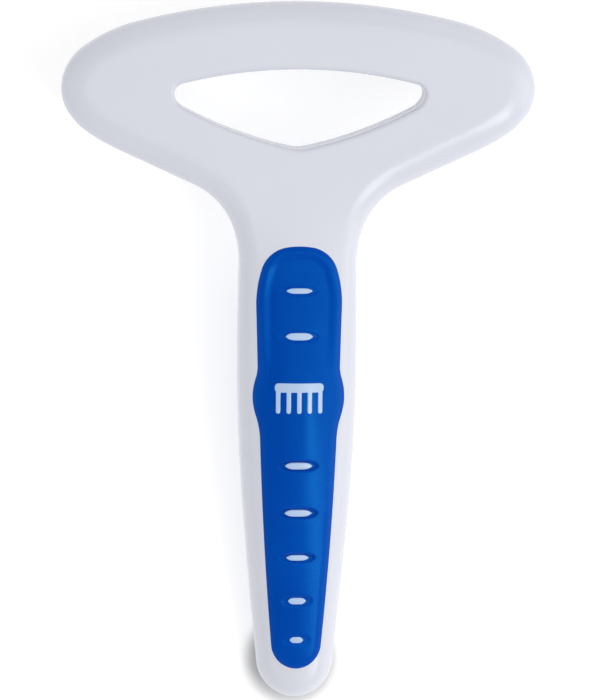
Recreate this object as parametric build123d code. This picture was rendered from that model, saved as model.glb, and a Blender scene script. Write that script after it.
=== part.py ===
"""Undercoat rake: a T-shaped, two-shell body with rubber grips on both sides of the
handle and one curved row of round-tipped steel pins. Sizes are in millimetres.

Everything is modelled in the tool frame, in which the shells meet on the plane z = 0:
x runs across the head, y from the handle's tip (y = 0) to the crest of the head, and z
out of the back, so the pins point down, along -z. At the end the whole tool is tipped
about x and lifted, so that it lies on its end pins and on the tip of its handle.
"""

from build123d import *
from math import asin, atan2, cos, degrees, exp, hypot, pi, radians, sin, sqrt
import os

# Outlines, each as its right half: where its crest is, then (radius, turn) arcs and
# (0, length) straight runs; turns are in degrees, to the left when positive
crest_y = 178.0
body_steps = [
    (164.0, -14.4),  # crest
    (40.0, -22.2),
    (13.0, -46.8),  # shoulder
    (11.2, -40.9),
    (19.0, -23.0),
    (60.0, -8.1),
    (0, 20.4),
    (19.4, 46.3),  # neck
    (26.4, 20.4),
    (927.0, -1.3),  # handle
    (521.0, -4.9),
    (2650.0, -0.8),
]
opening_crest_y = 161.1
opening_steps = [(121.0, -14.2), (2.6, -97.0), (5.4, -40.8), (105.0, -15.6)]
thumb_crest_y = 116.8
thumb_steps = [
    (19.6, -9.6),
    (8.0, -63.0),
    (29.4, -18.9),
    (0, 15.0),
    (9.5, 17.2),  # waist
    (18.4, -32.7),  # bulge round the emblem
    (22.7, 15.0),
    (930.0, -3.3),
    (6.5, -39.8),
]
finger_crest_y = 108.0
finger_steps = [(9.2, -89.5), (1655.0, -2.7)]

# Depth of each shell, and how its outer face is crowned
head_rise = 5.6  # back shell over the head, above the parting plane
handle_rise = 4.8  # what the handle's swell adds to that
head_drop = 5.1  # pin side shell under the head, below the parting plane
handle_drop = 4.2
swell_y = 78.0  # thickest point of the handle
swell_to_tip = 105.0
swell_to_head = 80.0
crown_fall = 7.0  # the handle's face falls away sideways from its middle line,
crown_width = 17.0  # over about this distance,
crown_fade_start = 90.0  # and this flattens out from here
crown_fade_length = 45.0  # to the head
edge_radius = 4.5
wall = 2.4

# Lap joint between the shells
lap_depth = 1.4
lap_wall = 1.15
lap_gap = 0.05

# Three-sided opening in the head
opening_rim_radius = 1.0
opening_wall = 2.2

# Pins
pin_count = 21
pin_pitch = 5.0
pin_radius = 1.2
pin_length = 20.0  # free length, from the land to the tip
pin_taper = 9.0
pin_tip_radius = 0.6
flange_radius = 1.9
flange_height = 1.2
row_inset = 9.0  # the row runs this far inside the crest
pin_gap = 0.03
land_half_width = 4.0
land_rim_radius = 0.8
land_face = -6.9  # z of the flat land that the pins come out of
land_floor = -3.7  # z of the floor that their flanges lie level with
retainer_height = 2.4
retainer_half_width = 2.8
clamp_half_width = 0.9  # of the rib in the back shell that holds the retainer down

# Rubber grips
grip_bed = 1.8  # depth of the bed moulded into a shell
grip_proud = 0.6  # how far the rubber stands above the shell
bed_wall = 1.8
grip_edge_radius = 0.9
bed_margin = 1.6  # the bed's own wall reaches this far past the rubber
rib_sunk = 0.45  # the shell's ribs end this far under the rubber's face
groove_depth = 0.95
groove_half_width = 1.75
groove_overhang = 1.6  # how far a groove runs past each end of its rib

# Each rib of the back shell that shows in the thumb grip: y, length and width
thumb_ribs = [
    (105.5, 6.9, 1.6),
    (94.0, 7.1, 2.0),
    (61.1, 7.0, 1.8),
    (48.9, 7.0, 1.8),
    (37.3, 5.8, 1.5),
    (26.0, 4.7, 1.8),
    (15.8, 3.7, 2.0),
]

# Comb emblem moulded into the thumb grip
emblem_y = 78.0
emblem_width = 12.6
emblem_teeth = 5
emblem_bar = 2.6
tooth_width = 1.35
tooth_length = 6.2

# Thumb rest, hollowed into the top of the thumb grip
dish_y = 101.0
dish_depth = 1.3
dish_radius_across = 180.0
dish_radius_along = 55.0
dish_slope = -0.06  # the handle's own fall towards the head there

# Grooves across the finger grip
finger_grooves = 10
finger_first_groove_y = 26.0
finger_groove_pitch = 7.8
finger_groove_radius = 2.6
finger_groove_depth = 0.8

# Posts that hold the shells together
post_spots = [(0, 12.5), (0, 66), (0, 121), (-45, 151), (45, 151)]
post_radius = 3.0
spigot_radius = 1.5
spigot_gap = 0.05
spigot_length = 3.6

far = 40.0  # longer than any depth of the body
arch_radius = body_steps[0][0]
row_radius = arch_radius - row_inset
row_centre_y = crest_y - arch_radius


def smooth_step(t):
    t = min(max(t, 0.0), 1.0)
    return t * t * (3 - 2 * t)


def swell(y):
    """1 at the handle's thickest point, falling smoothly towards the tip and the head."""
    reach = swell_to_tip if y < swell_y else swell_to_head
    t = min(abs(y - swell_y) / reach, 1.0)
    return cos(pi / 2 * t) ** 2


def side_fall(x, y):
    """How much lower the outer face is at x than on the middle line."""
    fade = 1 - smooth_step((y - crown_fade_start) / crown_fade_length)
    return crown_fall * fade * (1 - exp(-((x / crown_width) ** 2)))


def back_height(x, y):
    return head_rise + handle_rise * swell(y) - side_fall(x, y)


def pin_side_depth(x, y):
    return head_drop + handle_drop * swell(y) - side_fall(x, y)


def beyond(height, way):
    """Everything on the far side of a crowned face, seen from the parting plane."""
    xs = [-64 + 8 * i for i in range(17)]
    ys = [-8 + 8 * i for i in range(25)]
    grid = [[Vector(x, y, way * height(x, y)) for y in ys] for x in xs]
    face = Face.make_surface_from_array_of_points(grid, tol=0.01, min_deg=3, max_deg=3)
    return extrude(face, amount=far, dir=(0, 0, way))


def above_back(shift=0.0):
    return beyond(lambda x, y: back_height(x, y) + shift, 1)


def below_pin_side(shift=0.0):
    return beyond(lambda x, y: pin_side_depth(x, y) + shift, -1)


def prism(outline, low, high):
    return extrude(Pos(0, 0, low) * outline, amount=high - low, dir=(0, 0, 1))


def outline(crest, steps, inset=0.0):
    """A face symmetric about x = 0. Its right half starts at y = crest, follows the steps
    and is closed by one round arc. Each step is (radius, turn), with left turns positive,
    or (0, length) for a straight run. The whole face lies inset inside its true outline."""
    edges, point, way = [], Vector(0, crest - inset), Vector(1, 0)
    for radius, amount in steps:
        if radius:
            change = inset if amount > 0 else -inset
            edges.append(JernArc(point, way, radius + change, amount))
        else:
            edges.append(Line(point, point + way * amount))
        point, way = edges[-1] @ 1, (edges[-1] % 1).normalized()
    last_turn = 180 + sum(turn for radius, turn in steps if radius)
    edges.append(JernArc(point, way, point.X / sin(radians(last_turn)), -last_turn))
    half = Curve() + edges
    return make_face(half + mirror(half, about=Plane.YZ))


def body_outline(inset=0.0):
    return outline(crest_y, body_steps, inset)


def opening_outline(inset=0.0):
    return outline(opening_crest_y, opening_steps, inset)


def thumb_outline(inset=0.0):
    return outline(thumb_crest_y, thumb_steps, inset)


def finger_outline(inset=0.0):
    return outline(finger_crest_y, finger_steps, inset)


def lens(y, width, height):
    """A pointed oval, as a rib shows in the rubber."""
    end = 0.12 * height
    upper = ThreePointArc((-width / 2, y + end), (0, y + height / 2), (width / 2, y + end))
    lower = ThreePointArc((width / 2, y - end), (0, y - height / 2), (-width / 2, y - end))
    right = Line((width / 2, y + end), (width / 2, y - end))
    left = Line((-width / 2, y - end), (-width / 2, y + end))
    return make_face([upper, right, lower, left])


def emblem_outline():
    """A plain comb: a rounded bar with teeth."""
    bar_y = emblem_y + tooth_length / 2
    bar = Pos(0, bar_y) * RectangleRounded(emblem_width, emblem_bar, 1.1)
    step = (emblem_width - tooth_width - 0.6) / (emblem_teeth - 1)
    for i in range(emblem_teeth):
        x = (i - (emblem_teeth - 1) / 2) * step
        tooth = RectangleRounded(tooth_width, tooth_length + 1.0, tooth_width / 2 - 0.02)
        bar += Pos(x, bar_y - tooth_length / 2) * tooth
    return bar


def row_band(half_width, overrun):
    """The curved strip of the head that the pin row runs along, rounded at its ends."""
    half_angle = asin((pin_count - 1) / 2 * pin_pitch / row_radius)
    reach = half_angle + overrun / row_radius
    centre = Vector(0, row_centre_y)

    def at(radius, angle):
        return centre + Vector(radius * sin(angle), radius * cos(angle))

    outer, inner = row_radius + half_width, row_radius - half_width
    cap = half_width / row_radius
    upper = ThreePointArc(at(outer, -reach), at(outer, 0), at(outer, reach))
    right = ThreePointArc(at(outer, reach), at(row_radius, reach + cap), at(inner, reach))
    lower = ThreePointArc(at(inner, reach), at(inner, 0), at(inner, -reach))
    left = ThreePointArc(at(inner, -reach), at(row_radius, -reach - cap), at(outer, -reach))
    return make_face([upper, right, lower, left])


def pin_spots():
    spots = []
    for i in range(pin_count):
        x = (i - (pin_count - 1) / 2) * pin_pitch
        spots.append((x, row_centre_y + sqrt(row_radius**2 - x * x)))
    return spots


def thumb_dish(lift=0.0):
    """The hollow at the top of the thumb grip that a thumb rests in."""
    ball_height = 4.0
    across, along = sqrt(dish_radius_across * ball_height), sqrt(dish_radius_along * ball_height)
    ball = Rot(X=degrees(dish_slope)) * scale(Sphere(1), by=(across, along, ball_height))
    return Pos(0, dish_y, dish_floor(dish_y) + ball_height + lift) * ball


def dish_floor(y):
    """Height of the dish's surface on the middle line."""
    run = y - dish_y
    low = back_height(0, dish_y) + grip_proud - dish_depth
    return low + dish_slope * run + run * run / (2 * dish_radius_along)


def groove(y, rib_length):
    """A shallow eye-shaped scoop around one rib."""
    reach = (rib_length / 2 + groove_overhang, groove_half_width, groove_depth)
    face = min(back_height(0, y) + grip_proud, dish_floor(y))
    return Pos(0, y, face) * scale(Sphere(1), by=reach)


def column(radius, length, way):
    """A round bar from the parting plane, up (way = 1) or down (way = -1)."""
    end = Align.MIN if way > 0 else Align.MAX
    return Cylinder(radius, length, align=(Align.CENTER, Align.CENTER, end))


body = body_outline()
opening = opening_outline()
opening_ring = opening_outline(-opening_wall)
thumb = thumb_outline()
finger = finger_outline()
cavity_plan = body_outline(wall) - opening_ring


def eased_block(way, beyond_crown):
    """The solid outer form of a shell: the body's outline up to the crowned face, with its
    outer edge rounded, and the opening cut through and eased."""
    block = prism(body, min(0, way * far), max(0, way * far)) - beyond_crown
    block = fillet(outer_face(block).edges(), edge_radius)
    block -= prism(opening, -far, far)
    return fillet(outer_face(block).inner_wires()[0].edges(), opening_rim_radius)


def outer_face(block):
    crowned = block.faces().filter_by(GeomType.BSPLINE)
    return max(crowned, key=lambda face: face.area)


def back_shell():
    shell = eased_block(1, above_back())
    bed_roof = prism(thumb_outline(-bed_margin), 0, far) & above_back(-grip_bed - bed_wall)
    shell -= prism(cavity_plan, 0, far) - above_back(-wall) - bed_roof
    shell -= prism(thumb, 0, far) & above_back(-grip_bed)

    ribs = Sketch() + [lens(*rib) for rib in thumb_ribs] + emblem_outline()
    ribs = prism(ribs, 0, far) & above_back(-grip_bed - 0.4)
    shell += ribs - above_back(grip_proud - rib_sunk) - thumb_dish(-rib_sunk)

    inside = above_back(0.1 - wall)
    for x, y in post_spots:
        shell += Pos(x, y) * column(post_radius, far, 1) - inside
        shell += Pos(x, y) * column(spigot_radius, spigot_length, -1)

    retainer_top = land_floor + retainer_height
    shell += prism(row_band(clamp_half_width, 2.0), retainer_top, far) - inside
    lap = body_outline(lap_wall + lap_gap) - body_outline(wall)
    return shell + prism(lap, lap_gap - lap_depth, 0)


def pin_side_shell():
    shell = eased_block(-1, below_pin_side())
    bed_floor = prism(finger_outline(-bed_margin), -far, 0) & below_pin_side(-grip_bed - bed_wall)
    shell -= prism(cavity_plan, -far, 0) - below_pin_side(-wall) - bed_floor
    shell -= prism(finger, -far, 0) & below_pin_side(-grip_bed)
    shell -= prism(body_outline(lap_wall) - body_outline(wall + 0.2), -lap_depth, 0)

    land = prism(row_band(land_half_width, 3.0), land_face, land_floor)
    land_rim = land.faces().sort_by(Axis.Z)[0].edges()
    shell += fillet(land_rim, land_rim_radius)
    shell -= prism(row_band(retainer_half_width + 0.1, 2.1), land_floor, 0)

    inside = below_pin_side(0.1 - wall)
    for x, y in post_spots:
        shell += Pos(x, y) * column(post_radius, far, -1) - inside
    for x, y in post_spots:
        shell -= Pos(x, y) * column(spigot_radius + spigot_gap, spigot_length + 0.4, -1)

    drill = column(pin_radius + pin_gap, far, -1)
    drill += column(flange_radius + pin_gap, flange_height, -1)
    for x, y in pin_spots():
        shell -= Pos(x, y, land_floor) * drill
    return shell


def pin():
    """One pin about the z axis, its flange's top at z = 0 and its round tip below."""
    tip_z = land_face - land_floor - pin_length
    round_z = tip_z + pin_tip_radius
    side = Polyline(
        (0, 0),
        (flange_radius, 0),
        (flange_radius, -flange_height),
        (pin_radius, -flange_height),
        (pin_radius, tip_z + pin_taper),
        (pin_tip_radius, round_z),
    )
    tip = RadiusArc(side @ 1, (0, tip_z), pin_tip_radius)
    return revolve(Plane.XZ * make_face([*side.edges(), tip, Line((0, tip_z), (0, 0))]), Axis.Z)


def pin_retainer():
    strip = prism(row_band(retainer_half_width, 2.0), land_floor, land_floor + retainer_height)
    return chamfer(strip.faces().sort_by(Axis.Z)[-1].edges(), 0.4)


def thumb_grip():
    grip = prism(thumb, 0, far) - above_back(grip_proud)
    grip = fillet(outer_face(grip).edges(), grip_edge_radius)
    grip &= above_back(-grip_bed)
    grip -= thumb_dish()
    for rib in thumb_ribs:
        grip -= groove(rib[0], rib[1])
        grip -= prism(lens(*rib), 0, far)
    return grip - prism(emblem_outline(), 0, far)


def finger_grip():
    grip = prism(finger, -far, 0) - below_pin_side(grip_proud)
    grip = fillet(outer_face(grip).edges(), grip_edge_radius)
    grip &= below_pin_side(-grip_bed)
    for i in range(finger_grooves):
        y = finger_first_groove_y + finger_groove_pitch * i
        low = pin_side_depth(0, y) + grip_proud - finger_groove_depth
        bar = Rot(Y=90) * Cylinder(finger_groove_radius, far)
        grip -= Pos(0, y, -low - finger_groove_radius) * bar
    return grip


def resting_place():
    """Tips the tool until its end pins and the round of its handle's tip share one plane."""
    end_y = pin_spots()[0][1]
    pin_y, pin_z = end_y, land_face - pin_length + pin_tip_radius
    tip_y = edge_radius
    tip_z = -pin_side_depth(0, edge_radius) + edge_radius
    span = hypot(pin_y - tip_y, pin_z - tip_z)
    angle = atan2(tip_z - pin_z, pin_y - tip_y) - asin((edge_radius - pin_tip_radius) / span)
    return Rot(X=degrees(angle))


def write(parts):
    os.makedirs("parts", exist_ok=True)
    tipped = {name: resting_place() * part for name, part in parts.items()}
    boxes = [part.bounding_box() for part in tipped.values()]
    low_y, high_y = min(b.min.Y for b in boxes), max(b.max.Y for b in boxes)
    low_z = min(b.min.Z for b in boxes)
    place = Pos(0, -(low_y + high_y) / 2, -low_z)
    for name, part in tipped.items():
        export_step(place * part, f"parts/{name}.step")


def main():
    parts = {
        "back_shell": back_shell(),
        "pin_side_shell": pin_side_shell(),
        "pin_retainer": pin_retainer(),
        "thumb_grip": thumb_grip(),
        "finger_grip": finger_grip(),
    }
    one_pin = pin()
    for number, (x, y) in enumerate(pin_spots(), start=1):
        parts[f"pin_{number:02d}"] = Pos(x, y, land_floor) * one_pin
    write(parts)


if __name__ == "__main__":
    main()
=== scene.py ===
"""The undercoat rake's looks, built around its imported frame.

Every piece is modelled in the tool frame, in millimetres: x runs across the head, y from the
handle's tip to the crest of the head, z out of the back, and the shells meet at z = 0. The
tool lies tipped on its end pins, so the pieces are then laid where the frame's middle pin is.
"""

from math import asin, atan2, cos, degrees, hypot, pi, radians, sin

import bmesh
import bpy
import numpy as np
from mathutils import Matrix, Vector


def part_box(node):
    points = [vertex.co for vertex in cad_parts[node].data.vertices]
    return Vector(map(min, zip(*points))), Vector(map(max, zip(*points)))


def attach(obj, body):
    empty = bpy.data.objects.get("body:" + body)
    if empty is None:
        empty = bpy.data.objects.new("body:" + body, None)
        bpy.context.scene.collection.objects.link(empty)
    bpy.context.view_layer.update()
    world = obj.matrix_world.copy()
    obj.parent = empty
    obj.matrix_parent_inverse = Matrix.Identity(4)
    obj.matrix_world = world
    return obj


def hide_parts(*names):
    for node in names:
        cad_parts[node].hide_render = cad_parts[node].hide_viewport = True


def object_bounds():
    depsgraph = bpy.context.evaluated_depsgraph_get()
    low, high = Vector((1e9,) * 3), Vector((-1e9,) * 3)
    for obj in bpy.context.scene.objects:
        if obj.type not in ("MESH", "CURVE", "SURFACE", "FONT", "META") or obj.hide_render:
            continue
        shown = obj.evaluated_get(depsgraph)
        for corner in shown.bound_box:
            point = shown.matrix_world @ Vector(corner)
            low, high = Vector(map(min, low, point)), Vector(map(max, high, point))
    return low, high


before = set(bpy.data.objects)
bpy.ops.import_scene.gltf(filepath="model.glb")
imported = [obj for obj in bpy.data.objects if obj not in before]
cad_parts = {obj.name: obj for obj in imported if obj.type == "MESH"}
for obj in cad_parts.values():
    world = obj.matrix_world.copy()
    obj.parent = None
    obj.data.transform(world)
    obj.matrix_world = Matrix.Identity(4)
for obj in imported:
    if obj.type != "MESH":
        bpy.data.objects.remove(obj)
cad_low, cad_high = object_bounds()

MM = 0.001

# Outlines: the crest's y, then (radius, turn) arcs and (0, length) straight runs
BODY = (178.0, [(164, -14.4), (40, -22.2), (13, -46.8), (11.2, -40.9), (19, -23), (60, -8.1),
                (0, 20.4), (19.4, 46.3), (26.4, 20.4), (927, -1.3), (521, -4.9), (2650, -0.8)])
OPENING = (161.1, [(121, -14.2), (2.6, -97), (5.4, -40.8), (105, -15.6)])
THUMB = (116.8, [(19.6, -9.6), (8, -63), (29.4, -18.9), (0, 15), (9.5, 17.2), (18.4, -32.7),
                 (22.7, 15), (930, -3.3), (6.5, -39.8)])
FINGER = (108.0, [(9.2, -89.5), (1655, -2.7)])

# Crowned faces of the shells
head_rise, handle_rise = 5.6, 4.8
head_drop, handle_drop = 5.1, 4.2
swell_y, swell_to_tip, swell_to_head = 78.0, 105.0, 80.0
crown_fall, crown_width = 7.0, 17.0
crown_fade_start, crown_fade_length = 90.0, 45.0

# Rounded edges, as width across the face and depth down the side
handle_edge, head_edge, edge_depth = 4.4, 7.2, 4.6
rim = 1.0

# Pin row
pin_count, pin_pitch = 21, 5.0
pin_radius, pin_length, pin_taper, pin_tip_radius = 1.2, 20.0, 9.0, 0.6
flange_radius, flange_height = 1.9, 1.2
row_radius, row_centre_y = 155.0, 14.0
land_half_width, land_depth, land_floor = 4.0, 6.9, 3.7
collar_radius, collar_height = 2.15, 0.55

# Grips
grip_bed, grip_proud = 1.8, 0.6
bed_depth = 1.4
ribs = [  # y, length, width, and how deep the rubber is scooped round it
    (105.5, 6.9, 1.6, 0.2),
    (94.0, 7.1, 2.0, 0.25),
    (61.1, 7.0, 1.8, 0.7),
    (48.9, 7.0, 1.8, 0.7),
    (37.3, 5.8, 1.5, 0.6),
    (26.0, 4.7, 1.8, 0.3),
    (15.8, 3.7, 2.0, 0.15),
]
rib_sunk = 0.12
emblem_y, emblem_width, emblem_bar, emblem_teeth = 78.0, 12.6, 2.6, 5
tooth_width, tooth_length = 1.35, 6.2

# Hollow for the thumb: it starts this far inside the pad's edge and this far up the handle,
# and eases in over the second figure
hollow_depth = 0.75
hollow_inset, hollow_ease = 1.2, 2.6
hollow_start_y, hollow_fade = 82.0, 12.0
scoop_overhang, scoop_margin, scoop_ease = 3.6, 1.5, 0.75

# Ridges across the finger pad
first_ridge_y, ridge_pitch, ridge_depth = 26.0, 7.8, 0.85
ridges_start_y, ridges_end_y, ridge_fade = 19.5, 102.5, 4.0
ridge_inset, ridge_ease = 0.8, 1.8

# Light: the strength of the walls, the power of each lamp in watts, and the floor's glow
wall_light, ceiling_share = 0.71, 0.5
overhead_power, right_power, left_power, streak_power, back_power = 5.0, 4.9, 1.3, 1.6, 0.5
floor_glow = 0.57
white = (1.0, 1.0, 1.0)


# ---------------------------------------------------------------- forms


class Outline:
    """A closed outline, symmetric about x = 0, made of arcs and straight runs that flow
    into each other and closed by one round arc at its foot."""

    def __init__(self, crest, steps):
        self.runs = []
        self.point, self.way = np.array((0.0, crest)), 0.0
        for radius, amount in steps:
            self.add(radius, amount)
        last_turn = pi + self.way
        self.add(self.point[0] / sin(last_turn), -degrees(last_turn))

    def add(self, radius, amount):
        start, way = self.point, self.way
        if not radius:
            self.point = start + amount * np.array((cos(way), sin(way)))
            self.runs.append((start, 0, way, 0, amount))
            return
        side = 1 if amount > 0 else -1
        centre = start + side * radius * np.array((-sin(way), cos(way)))
        self.way = way + radians(amount)
        self.point = centre - side * radius * np.array((-sin(self.way), cos(self.way)))
        from_angle = atan2(*(start - centre)[::-1])
        self.runs.append((centre, radius, from_angle, side, abs(radians(amount))))

    def depth(self, x, y):
        """How far inside the outline a point is, negative outside."""
        x, slack = np.abs(x), 1e-6
        nearest = np.full(np.broadcast(x, y).shape, 1e3)
        for centre, radius, start, side, extent in self.runs:
            dx, dy = x - centre[0], y - centre[1]
            if radius:
                depth = side * (np.hypot(dx, dy) - radius)
                along = np.mod(side * (np.arctan2(dy, dx) - start) + slack, 2 * pi) - slack
            else:
                depth = dx * sin(start) - dy * cos(start)
                along = dx * cos(start) + dy * sin(start)
            here = (along >= -slack) & (along <= extent + slack) & (abs(depth) < abs(nearest))
            nearest = np.where(here, depth, nearest)
        return nearest


body, opening = Outline(*BODY), Outline(*OPENING)
thumb, finger = Outline(*THUMB), Outline(*FINGER)


def smooth(t):
    t = np.clip(t, 0, 1)
    return t * t * (3 - 2 * t)


def swell(y):
    reach = np.where(y < swell_y, swell_to_tip, swell_to_head)
    return np.cos(pi / 2 * np.minimum(abs(y - swell_y) / reach, 1)) ** 2


def side_fall(x, y):
    fade = 1 - smooth((y - crown_fade_start) / crown_fade_length)
    return crown_fall * fade * (1 - np.exp(-((x / crown_width) ** 2)))


def back_height(x, y):
    return head_rise + handle_rise * swell(y) - side_fall(x, y)


def pin_side_depth(x, y):
    return head_drop + handle_drop * swell(y) - side_fall(x, y)


def eased(side, face, width, drop):
    """A side wall and a face, each given as the distance outside it, joined by a rounded
    edge: width is how much of the face it takes, drop how much of the side."""
    across, down = np.maximum(side / width + 1, 0), np.maximum(face / drop + 1, 0)
    return (np.sqrt(across**2 + down**2) - 1) * np.minimum(width, drop)


def blended(first, second, reach):
    """Two forms run into each other with a hollow fillet."""
    share = np.clip(0.5 + 0.5 * (second - first) / reach, 0, 1)
    return second + (first - second) * share - reach * share * (1 - share)


def row_y(x):
    return row_centre_y + np.sqrt(row_radius**2 - x * x)


def nearest_pin_x(x):
    reach = (pin_count - 1) / 2
    return np.clip(np.round(x / pin_pitch), -reach, reach) * pin_pitch


def land(x, y, z):
    """The raised curved band that the pins come out of, with a collar round each pin."""
    end_x = (pin_count - 1) / 2 * pin_pitch + 3
    beyond = np.abs(x) - end_x
    on_row = np.abs(np.hypot(x, y - row_centre_y) - row_radius)
    off_end = np.hypot(beyond, y - row_y(np.full_like(x, end_x)))
    band = eased(np.where(beyond < 0, on_row, off_end) - land_half_width, -z - land_depth, 0.9, 0.9)
    near_x = nearest_pin_x(x)
    off_pin = np.hypot(x - near_x, y - row_y(near_x))
    collar = eased(off_pin - collar_radius, -z - land_depth - collar_height, 0.5, 0.4)
    return np.maximum(blended(band, collar, 0.5), z + head_drop / 2)


def whole_body(x, y, z):
    edge = handle_edge + (head_edge - handle_edge) * smooth((y - 112) / 30)
    side, gap = -body.depth(x, y), opening.depth(x, y)
    thumb_bed = bed_depth * smooth((thumb.depth(x, y) - 0.9) / 1.2)
    finger_bed = bed_depth * smooth((finger.depth(x, y) - 0.9) / 1.2)
    back = z - back_height(x, y) + thumb_bed
    front = -z - pin_side_depth(x, y) + finger_bed
    form = np.maximum(eased(side, back, edge, edge_depth), eased(side, front, edge, edge_depth))
    form = np.maximum(form, eased(gap, back, rim, rim))
    form = np.maximum(form, eased(gap, front, rim, rim))
    return blended(form, land(x, y, z), 0.7)


def lens(x, y, at_y, length, width):
    """How far inside an oval a point is, across its narrow way."""
    along = np.minimum(np.abs(2 * x / length), 1.6)
    return width / 2 * (1 - along**4.2) - np.abs(y - at_y)


def thumb_face(x, y, scoops=True):
    """Height of the rubber under the thumb, with its hollow and the scoops round the ribs."""
    depth = thumb.depth(x, y)
    inside = smooth((depth - hollow_inset) / hollow_ease)
    hollow = hollow_depth * inside * smooth((y - hollow_start_y) / hollow_fade)
    face = back_height(x, y) + grip_proud - hollow
    if scoops:
        for at_y, length, width, deep in ribs:
            eye = lens(x, y, at_y, length + scoop_overhang, width + scoop_margin)
            face = face - deep * smooth(eye / scoop_ease)
    return face


def thumb_rubber(x, y, z):
    side = -thumb.depth(x, y) - 0.35
    form = eased(side, z - thumb_face(x, y), 2.6, 1.3)
    return np.maximum(form, eased(side, back_height(x, y) - grip_bed - z, 0.5, 0.5))


def finger_rubber(x, y, z):
    wave = 0.5 - 0.5 * np.cos(2 * pi * (y - first_ridge_y) / ridge_pitch)
    ends = smooth((y - ridges_start_y) / ridge_fade) * smooth((ridges_end_y - y) / ridge_fade)
    inward = smooth((finger.depth(x, y) - ridge_inset) / ridge_ease)
    groove = ridge_depth * (1 - wave) ** 3 * ends * inward
    face = -z - pin_side_depth(x, y) - grip_proud + groove
    side = -finger.depth(x, y) - 0.3
    under = z + pin_side_depth(x, y) - grip_bed
    return np.maximum(eased(side, face, 2.2, 1.2), eased(side, under, 0.5, 0.5))


def bar(x, y, at_x, at_y, width, height, corner):
    """Distance outside a rounded bar."""
    dx = np.abs(x - at_x) - width / 2 + corner
    dy = np.abs(y - at_y) - height / 2 + corner
    return np.hypot(np.maximum(dx, 0), np.maximum(dy, 0)) + np.minimum(np.maximum(dx, dy), 0) - corner


def emblem(x, y):
    """A plain comb: a rounded bar with teeth."""
    bar_y = emblem_y + tooth_length / 2
    form = bar(x, y, 0, bar_y, emblem_width, emblem_bar, 1.1)
    step = (emblem_width - tooth_width - 0.6) / (emblem_teeth - 1)
    for i in range(emblem_teeth):
        at_x = (i - (emblem_teeth - 1) / 2) * step
        tooth = bar(x, y, at_x, bar_y - tooth_length / 2, tooth_width, tooth_length + 1, tooth_width / 2)
        form = np.minimum(form, tooth)
    return form


def rib_plastic(x, y, z):
    """What shows of the back shell inside the rubber: the ribs and the emblem."""
    mark = emblem(x, y)
    inside = mark
    for at_y, length, width, deep in ribs:
        inside = np.minimum(inside, -lens(x, y, at_y, length, width))
    face = thumb_face(x, y, scoops=False) + np.where(mark < 1, 0.08, -rib_sunk)
    top = eased(inside, z - face, 0.35, 0.3)
    return np.maximum(top, face - 1.5 - z)


# ---------------------------------------------------------------- meshes


def skin(form, low, high, step):
    """Points and four-sided faces of the surface where form is zero."""
    axes = [np.arange(a, b + step, step) for a, b in zip(low, high)]
    inside = form(*np.meshgrid(*axes, indexing="ij", sparse=True)) < 0
    corners = [inside[i : i - 1 or None, j : j - 1 or None, k : k - 1 or None]
               for i in (0, 1) for j in (0, 1) for k in (0, 1)]
    crossed = np.logical_or.reduce(corners) & ~np.logical_and.reduce(corners)
    number = np.full(crossed.shape, -1)
    number[crossed] = np.arange(crossed.sum())
    points = np.argwhere(crossed) * step + np.array(low) + step / 2
    faces = []
    for turn in ((0, 1, 2), (1, 2, 0), (2, 0, 1)):
        ahead, cells = inside.transpose(turn), number.transpose(turn)
        change = ahead[:-1, 1:-1, 1:-1] != ahead[1:, 1:-1, 1:-1]
        i, j, k = np.nonzero(change)
        ring = [cells[i, j, k], cells[i, j + 1, k], cells[i, j + 1, k + 1], cells[i, j, k + 1]]
        quad = np.stack(ring, 1)
        turned = ~ahead[:-1, 1:-1, 1:-1][change]
        quad[turned] = quad[turned][:, ::-1]
        faces.append(quad)
    return settle(form, points, step), np.concatenate(faces)


def settle(form, points, step):
    """Moves points onto the surface where form is zero."""
    nudge = 0.02 * step
    for _ in range(6):
        value = form(*points.T)
        slope = np.empty_like(points)
        for axis in range(3):
            shift = np.zeros(3)
            shift[axis] = nudge
            slope[:, axis] = (form(*(points + shift).T) - form(*(points - shift).T)) / (2 * nudge)
        move = slope * (value / ((slope**2).sum(1) + 1e-9))[:, None]
        size = np.linalg.norm(move, axis=1)[:, None]
        points = points - move * np.minimum(1, 0.5 * step / (size + 1e-12))
    return points


def solid(name, points, faces):
    mesh = bpy.data.meshes.new(name)
    mesh.from_pydata((points * MM).tolist(), [], faces.tolist())
    mesh.update()
    return finish_piece(name, mesh)


def finish_piece(name, mesh):
    mesh.polygons.foreach_set("use_smooth", [True] * len(mesh.polygons))
    piece = bpy.data.objects.new(name, mesh)
    bpy.context.scene.collection.objects.link(piece)
    return piece


def moulded(name, form, low, high, step):
    return solid(name, *skin(form, low, high, step))


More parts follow.
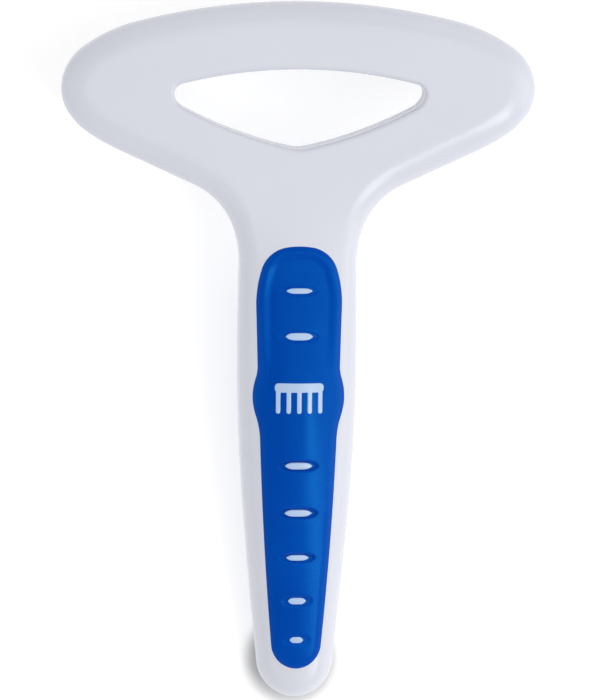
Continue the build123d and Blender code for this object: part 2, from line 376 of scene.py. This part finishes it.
def shell_half(name, points, faces, side):
    """One shell out of the whole body: cut at the parting plane, with its edge broken and
    the cut closed."""
    seam, bevel = 0.3 * MM, 0.28 * MM
    mesh = bpy.data.meshes.new(name)
    mesh.from_pydata((points * MM).tolist(), [], faces.tolist())
    work = bmesh.new()
    work.from_mesh(mesh)
    everything = work.verts[:] + work.edges[:] + work.faces[:]
    bmesh.ops.bisect_plane(work, geom=everything, dist=0.06 * MM, plane_co=(0, 0, side * seam),
                           plane_no=(0, 0, side), clear_inner=True)
    edges = [edge for edge in work.edges if edge.is_boundary]
    rim_verts = list({vert for edge in edges for vert in edge.verts})
    inward = wall_direction(np.array([vert.co for vert in rim_verts]) / MM)
    inner = {}
    for vert, way in zip(rim_verts, inward):
        step = Vector((way[0], way[1], -side)) * bevel
        inner[vert] = work.verts.new(vert.co + step)
    for edge in edges:
        loop = edge.link_loops[0]
        first, second = loop.vert, loop.link_loop_next.vert
        work.faces.new((second, first, inner[first], inner[second]))
    cut = [edge for edge in work.edges if edge.is_boundary]
    cap = bmesh.ops.triangle_fill(work, use_beauty=True, use_dissolve=False, edges=cut)["geom"]
    for face in cap:
        if isinstance(face, bmesh.types.BMFace):
            face.normal_update()
            if face.normal.z * side > 0:
                face.normal_flip()
    work.to_mesh(mesh)
    work.free()
    return finish_piece(name, mesh)


def wall_direction(points):
    """The way into the plastic at points on the side walls, in the parting plane."""
    x, y, _ = points.T
    nudge = 0.05

    def plastic(x, y):
        return np.minimum(body.depth(x, y), -opening.depth(x, y))

    slope = np.stack([plastic(x + nudge, y) - plastic(x - nudge, y),
                      plastic(x, y + nudge) - plastic(x, y - nudge)], 1)
    return slope / np.linalg.norm(slope, axis=1)[:, None]


def pin_mesh():
    """One pin about the z axis, its flange's top at z = 0, turned from its profile."""
    tip_z = -(land_depth - land_floor) - pin_length
    round_z = tip_z + pin_tip_radius
    bevel = 0.15
    profile = [(0, 0), (flange_radius - bevel, 0), (flange_radius, -bevel),
               (flange_radius, -flange_height), (pin_radius, -flange_height)]
    straight = np.linspace(-flange_height - 0.4, tip_z + pin_taper, 14)
    profile += [(pin_radius, z) for z in straight]
    for t in np.linspace(0.06, 1, 14):
        z = tip_z + pin_taper + (round_z - tip_z - pin_taper) * t
        profile.append((pin_radius - (pin_radius - pin_tip_radius) * t ** 1.15, z))
    for angle in np.linspace(0, pi / 2, 9)[1:]:
        profile.append((pin_tip_radius * cos(angle), round_z - pin_tip_radius * sin(angle)))
    work = bmesh.new()
    verts = [work.verts.new((r * MM, 0, z * MM)) for r, z in profile]
    edges = [work.edges.new(pair) for pair in zip(verts, verts[1:])]
    bmesh.ops.spin(work, geom=verts + edges, cent=(0, 0, 0), axis=(0, 0, 1), angle=2 * pi, steps=40,
                   use_merge=True, use_duplicate=False)
    bmesh.ops.remove_doubles(work, verts=work.verts[:], dist=1e-6)
    bmesh.ops.recalc_face_normals(work, faces=work.faces[:])
    mesh = bpy.data.meshes.new("pin")
    work.to_mesh(mesh)
    work.free()
    return mesh


# ---------------------------------------------------------------- where the tool lies


def laid_down():
    """The tool frame's place, tipped so that the end pins and the handle's tip touch down."""
    end_x = (pin_count - 1) / 2 * pin_pitch
    pin_y, pin_z = float(row_y(end_x)), -land_depth - pin_length + pin_tip_radius
    tip_edge = 4.5
    tip_y, tip_z = tip_edge, tip_edge - float(pin_side_depth(0, tip_edge))
    span = hypot(pin_y - tip_y, pin_z - tip_z)
    tilt = atan2(tip_z - pin_z, pin_y - tip_y) - asin((tip_edge - pin_tip_radius) / span)
    turned = Matrix.Rotation(tilt, 4, "X")
    low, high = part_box("pin_11")
    tip = Vector((0, high.y - pin_tip_radius * MM, low.z + pin_tip_radius * MM))
    centre = turned @ (Vector((0, float(row_y(0.0)), pin_z)) * MM)
    return Matrix.Translation(tip - centre) @ turned


place = laid_down()


def lay(piece, slot, *nodes):
    piece.data.transform(place)
    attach(piece, "root")
    if nodes:
        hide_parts(*nodes)
    return piece


# ---------------------------------------------------------------- finishes


class Value:
    """A shader socket that can be used in sums."""

    def __init__(self, finish, socket):
        self.finish, self.socket = finish, socket

    def sum(self, operation, *values):
        return self.finish.node("ShaderNodeMath", {"operation": operation}, dict(enumerate(values)))

    def __add__(self, other):
        return self.sum("ADD", self, other)

    def __mul__(self, other):
        return self.sum("MULTIPLY", self, other)

    __radd__, __rmul__ = __add__, __mul__


class Finish:
    """A procedural material."""

    def __init__(self, name):
        self.material = bpy.data.materials.new(name)
        self.material.use_nodes = True
        self.tree = self.material.node_tree
        self.surface = self.tree.nodes["Principled BSDF"]

    def node(self, kind, settings=None, inputs=None, output=0):
        made = self.tree.nodes.new(kind)
        for name, value in (settings or {}).items():
            setattr(made, name, value)
        for name, value in (inputs or {}).items():
            self.feed(made.inputs[name], value)
        return Value(self, made.outputs[output])

    def feed(self, socket, value):
        if isinstance(value, Value):
            self.tree.links.new(value.socket, socket)
        else:
            socket.default_value = value

    def place(self, stretch=(1, 1, 1)):
        """Where a point is on the tool, in metres, stretched for grain that runs one way."""
        where = self.node("ShaderNodeTexCoord", output="Object")
        tilt = place.to_euler().x
        about_x = {"rotation_type": "X_AXIS"}
        turned = self.node("ShaderNodeVectorRotate", about_x, {"Vector": where, "Angle": -tilt})
        return self.node("ShaderNodeVectorMath", {"operation": "MULTIPLY"}, {0: turned, 1: stretch})

    def noise(self, scale, detail=3.0, roughness=0.5, stretch=(1, 1, 1)):
        inputs = {"Vector": self.place(stretch), "Scale": scale, "Detail": detail,
                  "Roughness": roughness}
        return self.node("ShaderNodeTexNoise", None, inputs)

    def between(self, value, low, high):
        """0 below low, 1 above high, and a smooth change between."""
        inputs = {"Value": value, "From Min": low, "From Max": high}
        return self.node("ShaderNodeMapRange", {"interpolation_type": "SMOOTHSTEP"}, inputs)

    def mix(self, share, first, second):
        settings = {"data_type": "RGBA"}
        return self.node("ShaderNodeMix", settings, {0: share, 6: first, 7: second}, output=2)

    def bump(self, height, distance, strength=1.0, under=None):
        inputs = {"Height": height, "Distance": distance, "Strength": strength}
        if under is not None:
            inputs["Normal"] = under
        return self.node("ShaderNodeBump", None, inputs)

    def set(self, **inputs):
        for name, value in inputs.items():
            self.feed(self.surface.inputs[name.replace("_", " ")], value)
        return self.material


def shell_plastic(name, darker, lighter):
    """Glossy lavender-white moulding, faintly wavy, with hairline handling marks."""
    f = Finish(name)
    cloud = f.between(f.noise(22, 2.0), 0.3, 0.7)
    colour = f.mix(cloud, darker, lighter)
    hairs = f.between(f.noise(1500, 2.0, 0.6, (1.0, 0.03, 1.0)), 0.7, 0.85)
    cross_hairs = f.between(f.noise(1300, 2.0, 0.6, (0.03, 1.0, 1.0)), 0.72, 0.87)
    marks = hairs + cross_hairs
    rough = 0.2 + 0.05 * f.noise(160, 4.0) + 0.06 * marks
    wave = f.bump(f.noise(60, 1.0), 0.0003, 0.08)
    normal = f.bump(marks * -1.0, 0.00001, 0.2, wave)
    return f.set(Base_Color=colour, Roughness=rough, Normal=normal, IOR=1.5)


def grip_rubber():
    """Satin blue rubber with a fine spark-eroded texture and a slightly polished top."""
    f = Finish("grip_rubber")
    cloud = f.between(f.noise(45, 3.0), 0.3, 0.7)
    colour = f.mix(cloud, (0.0001, 0.050, 0.370, 1), (0.0002, 0.060, 0.410, 1))
    grain = f.noise(2600, 2.0, 0.6)
    rough = 0.2 + 0.07 * grain + 0.04 * cloud
    normal = f.bump(grain, 0.00002, 0.2)
    f.set(Specular_IOR_Level=0.45, Specular_Tint=(0.03, 0.5, 1.0, 1))
    return f.set(Base_Color=colour, Roughness=rough, Normal=normal)


def pin_steel():
    """Polished stainless steel, ground round the pin, so its marks run in rings."""
    f = Finish("pin_steel")
    rings = f.noise(900, 3.0, 0.65, (0.06, 0.06, 3.0))
    patches = f.between(f.noise(260, 3.0), 0.35, 0.7)
    colour = f.mix(patches, (0.60, 0.60, 0.61, 1), (0.70, 0.70, 0.71, 1))
    rough = 0.16 + 0.12 * rings + 0.06 * patches
    normal = f.bump(rings, 0.00003, 0.3)
    return f.set(Base_Color=colour, Roughness=rough, Normal=normal, Metallic=1.0)


def retainer_plastic():
    """Dull dark nylon with a moulded grain."""
    f = Finish("retainer_plastic")
    grain = f.noise(900, 3.0, 0.6)
    colour = f.mix(grain, (0.05, 0.05, 0.055, 1), (0.075, 0.075, 0.08, 1))
    rough = 0.55 + 0.15 * grain
    return f.set(Base_Color=colour, Roughness=rough, Normal=f.bump(grain, 0.00005, 0.4))


# ---------------------------------------------------------------- the pieces


def shells(plastic):
    low, high = (-61.5, -1.5, -9.6), (61.5, 179.5, 11.6)
    points, faces = skin(whole_body, low, high, 0.5)
    for name, side in (("back_moulding", 1), ("pin_side_moulding", -1)):
        half = shell_half(name, points, faces, side)
        half.data.materials.append(plastic)
        lay(half, "shell", "back_shell" if side > 0 else "pin_side_shell")


def grips(rubber, plastic):
    pads = [("thumb_pad", thumb_rubber, "thumb_grip", (-12.6, 7.0, 2.0), (12.6, 117.0, 11.6)),
            ("finger_pad", finger_rubber, "finger_grip", (-10.6, 12.0, -10.6), (10.6, 109.5, -1.0))]
    for name, form, node, low, high in pads:
        pad = moulded(name, form, low, high, 0.3)
        pad.data.materials.append(rubber)
        lay(pad, "grip", node)
    shown = moulded("thumb_ribs", rib_plastic, (-7.2, 12.0, 3.0), (7.2, 106.5, 11.6), 0.2)
    shown.data.materials.append(plastic)
    lay(shown, "shell")


def pins(steel):
    turned = pin_mesh()
    turned.materials.append(steel)
    for i in range(pin_count):
        x = (i - (pin_count - 1) / 2) * pin_pitch
        pin = finish_piece(f"steel_pin_{i + 1:02d}", turned.copy())
        pin.data.transform(Matrix.Translation(Vector((x, float(row_y(x)), -land_floor)) * MM))
        lay(pin, "pin", f"pin_{i + 1:02d}")


# ---------------------------------------------------------------- the studio


def floor():
    """A pale card that glows a little, with a painted contact shadow: its glow is dimmed in a round
    spot under the handle's tip, where the tool touches down and keeps the light off."""
    half, below, painted_shadow_radius, painted_shadow_edge = 1.5, 0.0001, 9.0, 14.0
    work = bmesh.new()
    bmesh.ops.create_grid(work, x_segments=8, y_segments=8, size=half)
    mesh = bpy.data.meshes.new("floor")
    work.to_mesh(mesh)
    work.free()
    sheet = finish_piece("floor", mesh)
    sheet.location.z = -below
    f = Finish("pale_card")
    grain = f.noise(300, 2.0)
    colour = f.mix(grain, (0.55, 0.55, 0.55, 1), (0.57, 0.57, 0.57, 1))
    # Painted contact shadow: the floor's glow drops to a tenth inside a round spot by the handle's tip
    tip = place @ (Vector((-0.5, 9.0, 0)) * MM)
    where = f.node("ShaderNodeTexCoord", output="Object")
    from_tip = {0: where, 1: (tip.x, tip.y, 0)}
    gap = f.node("ShaderNodeVectorMath", {"operation": "DISTANCE"}, from_tip, output="Value")
    outside_painted_shadow = f.between(gap, painted_shadow_radius * MM, painted_shadow_edge * MM)
    glow_with_painted_shadow = f.mix(outside_painted_shadow, (0.1, 0.1, 0.1, 1), (1, 1, 1, 1))
    f.set(Base_Color=colour, Roughness=0.9, Emission_Color=glow_with_painted_shadow, Emission_Strength=floor_glow)
    sheet.data.materials.append(f.material)


def lamp(name, spot, size, power):
    """A rectangular white lamp that faces the tool."""
    light = bpy.data.lights.new(name, "AREA")
    light.shape, (light.size, light.size_y) = "RECTANGLE", size
    light.energy, light.color = power, white
    stand = bpy.data.objects.new(name, light)
    bpy.context.scene.collection.objects.link(stand)
    stand.location = spot
    stand.rotation_euler = (-Vector(spot)).to_track_quat("-Z", "Y").to_euler()


def walls():
    """Even pale light from all round, dimmer from straight above."""
    world = bpy.data.worlds.new("studio")
    world.use_nodes = True
    nodes, links = world.node_tree.nodes, world.node_tree.links
    where = nodes.new("ShaderNodeTexCoord")
    height = nodes.new("ShaderNodeSeparateXYZ")
    strength = nodes.new("ShaderNodeMapRange")
    strength.interpolation_type = "SMOOTHSTEP"
    strength.inputs["From Min"].default_value = 0.95
    strength.inputs["From Max"].default_value = 0.6
    strength.inputs["To Min"].default_value = ceiling_share * wall_light
    strength.inputs["To Max"].default_value = wall_light
    links.new(where.outputs["Generated"], height.inputs[0])
    links.new(height.outputs["Z"], strength.inputs["Value"])
    links.new(strength.outputs["Result"], nodes["Background"].inputs["Strength"])
    nodes["Background"].inputs["Color"].default_value = (*white, 1)
    bpy.context.scene.world = world


def studio():
    """Pale walls, a broad lamp overhead, one on each side and one behind, and a narrow one
    that draws a streak down the right of the rubber."""
    bpy.context.scene.view_settings.view_transform = "Standard"
    walls()
    lamp("overhead", (0.25, -0.1, 1.7), (1.3, 1.3), overhead_power)
    lamp("key_right", (1.1, -0.1, 0.75), (0.9, 1.3), right_power)
    lamp("fill_left", (-1.1, 0.1, 0.75), (0.9, 1.3), left_power)
    lamp("streak", (0.46, -0.43, 0.9), (0.12, 0.5), streak_power)
    lamp("back", (0.1, 1.1, 0.8), (1.2, 0.8), back_power)


def camera():
    """Straight above the tool, leaning a little to the left, with a long lens."""
    lean, roll, away = radians(4.2), radians(-0.08), 1.15
    shown_height, shift_y, aim_height = 0.1776, 0.0004, 0.6
    centre = (cad_low + cad_high) / 2
    aim = Vector((centre.x, centre.y + shift_y, aim_height * cad_high.z))
    data = bpy.data.cameras.new("camera")
    data.sensor_width = 36.0
    data.lens = data.sensor_width * away / shown_height
    data.clip_start, data.clip_end = 0.05, 10.0
    view = bpy.data.objects.new("camera", data)
    bpy.context.scene.collection.objects.link(view)
    turn = Matrix.Rotation(-lean, 4, "Y") @ Matrix.Rotation(roll, 4, "Z")
    view.matrix_world = Matrix.Translation(aim) @ turn @ Matrix.Translation((0, 0, away))
    bpy.context.scene.camera = view


def main():
    plastic = shell_plastic("shell_plastic", (0.655, 0.668, 0.745, 1), (0.675, 0.688, 0.762, 1))
    # The ribs are the shell's white plastic; this copy is tinted blue as painted bounce light and
    # reflection from the rubber round them
    bounce_tinted_plastic = shell_plastic("rib_plastic", (0.42, 0.56, 0.78, 1), (0.46, 0.60, 0.82, 1))
    rubber, steel = grip_rubber(), pin_steel()
    shells(plastic)
    grips(rubber, bounce_tinted_plastic)
    pins(steel)
    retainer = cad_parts["pin_retainer"]
    retainer.data.materials.clear()
    retainer.data.materials.append(retainer_plastic())
    floor()
    studio()
    camera()


main()
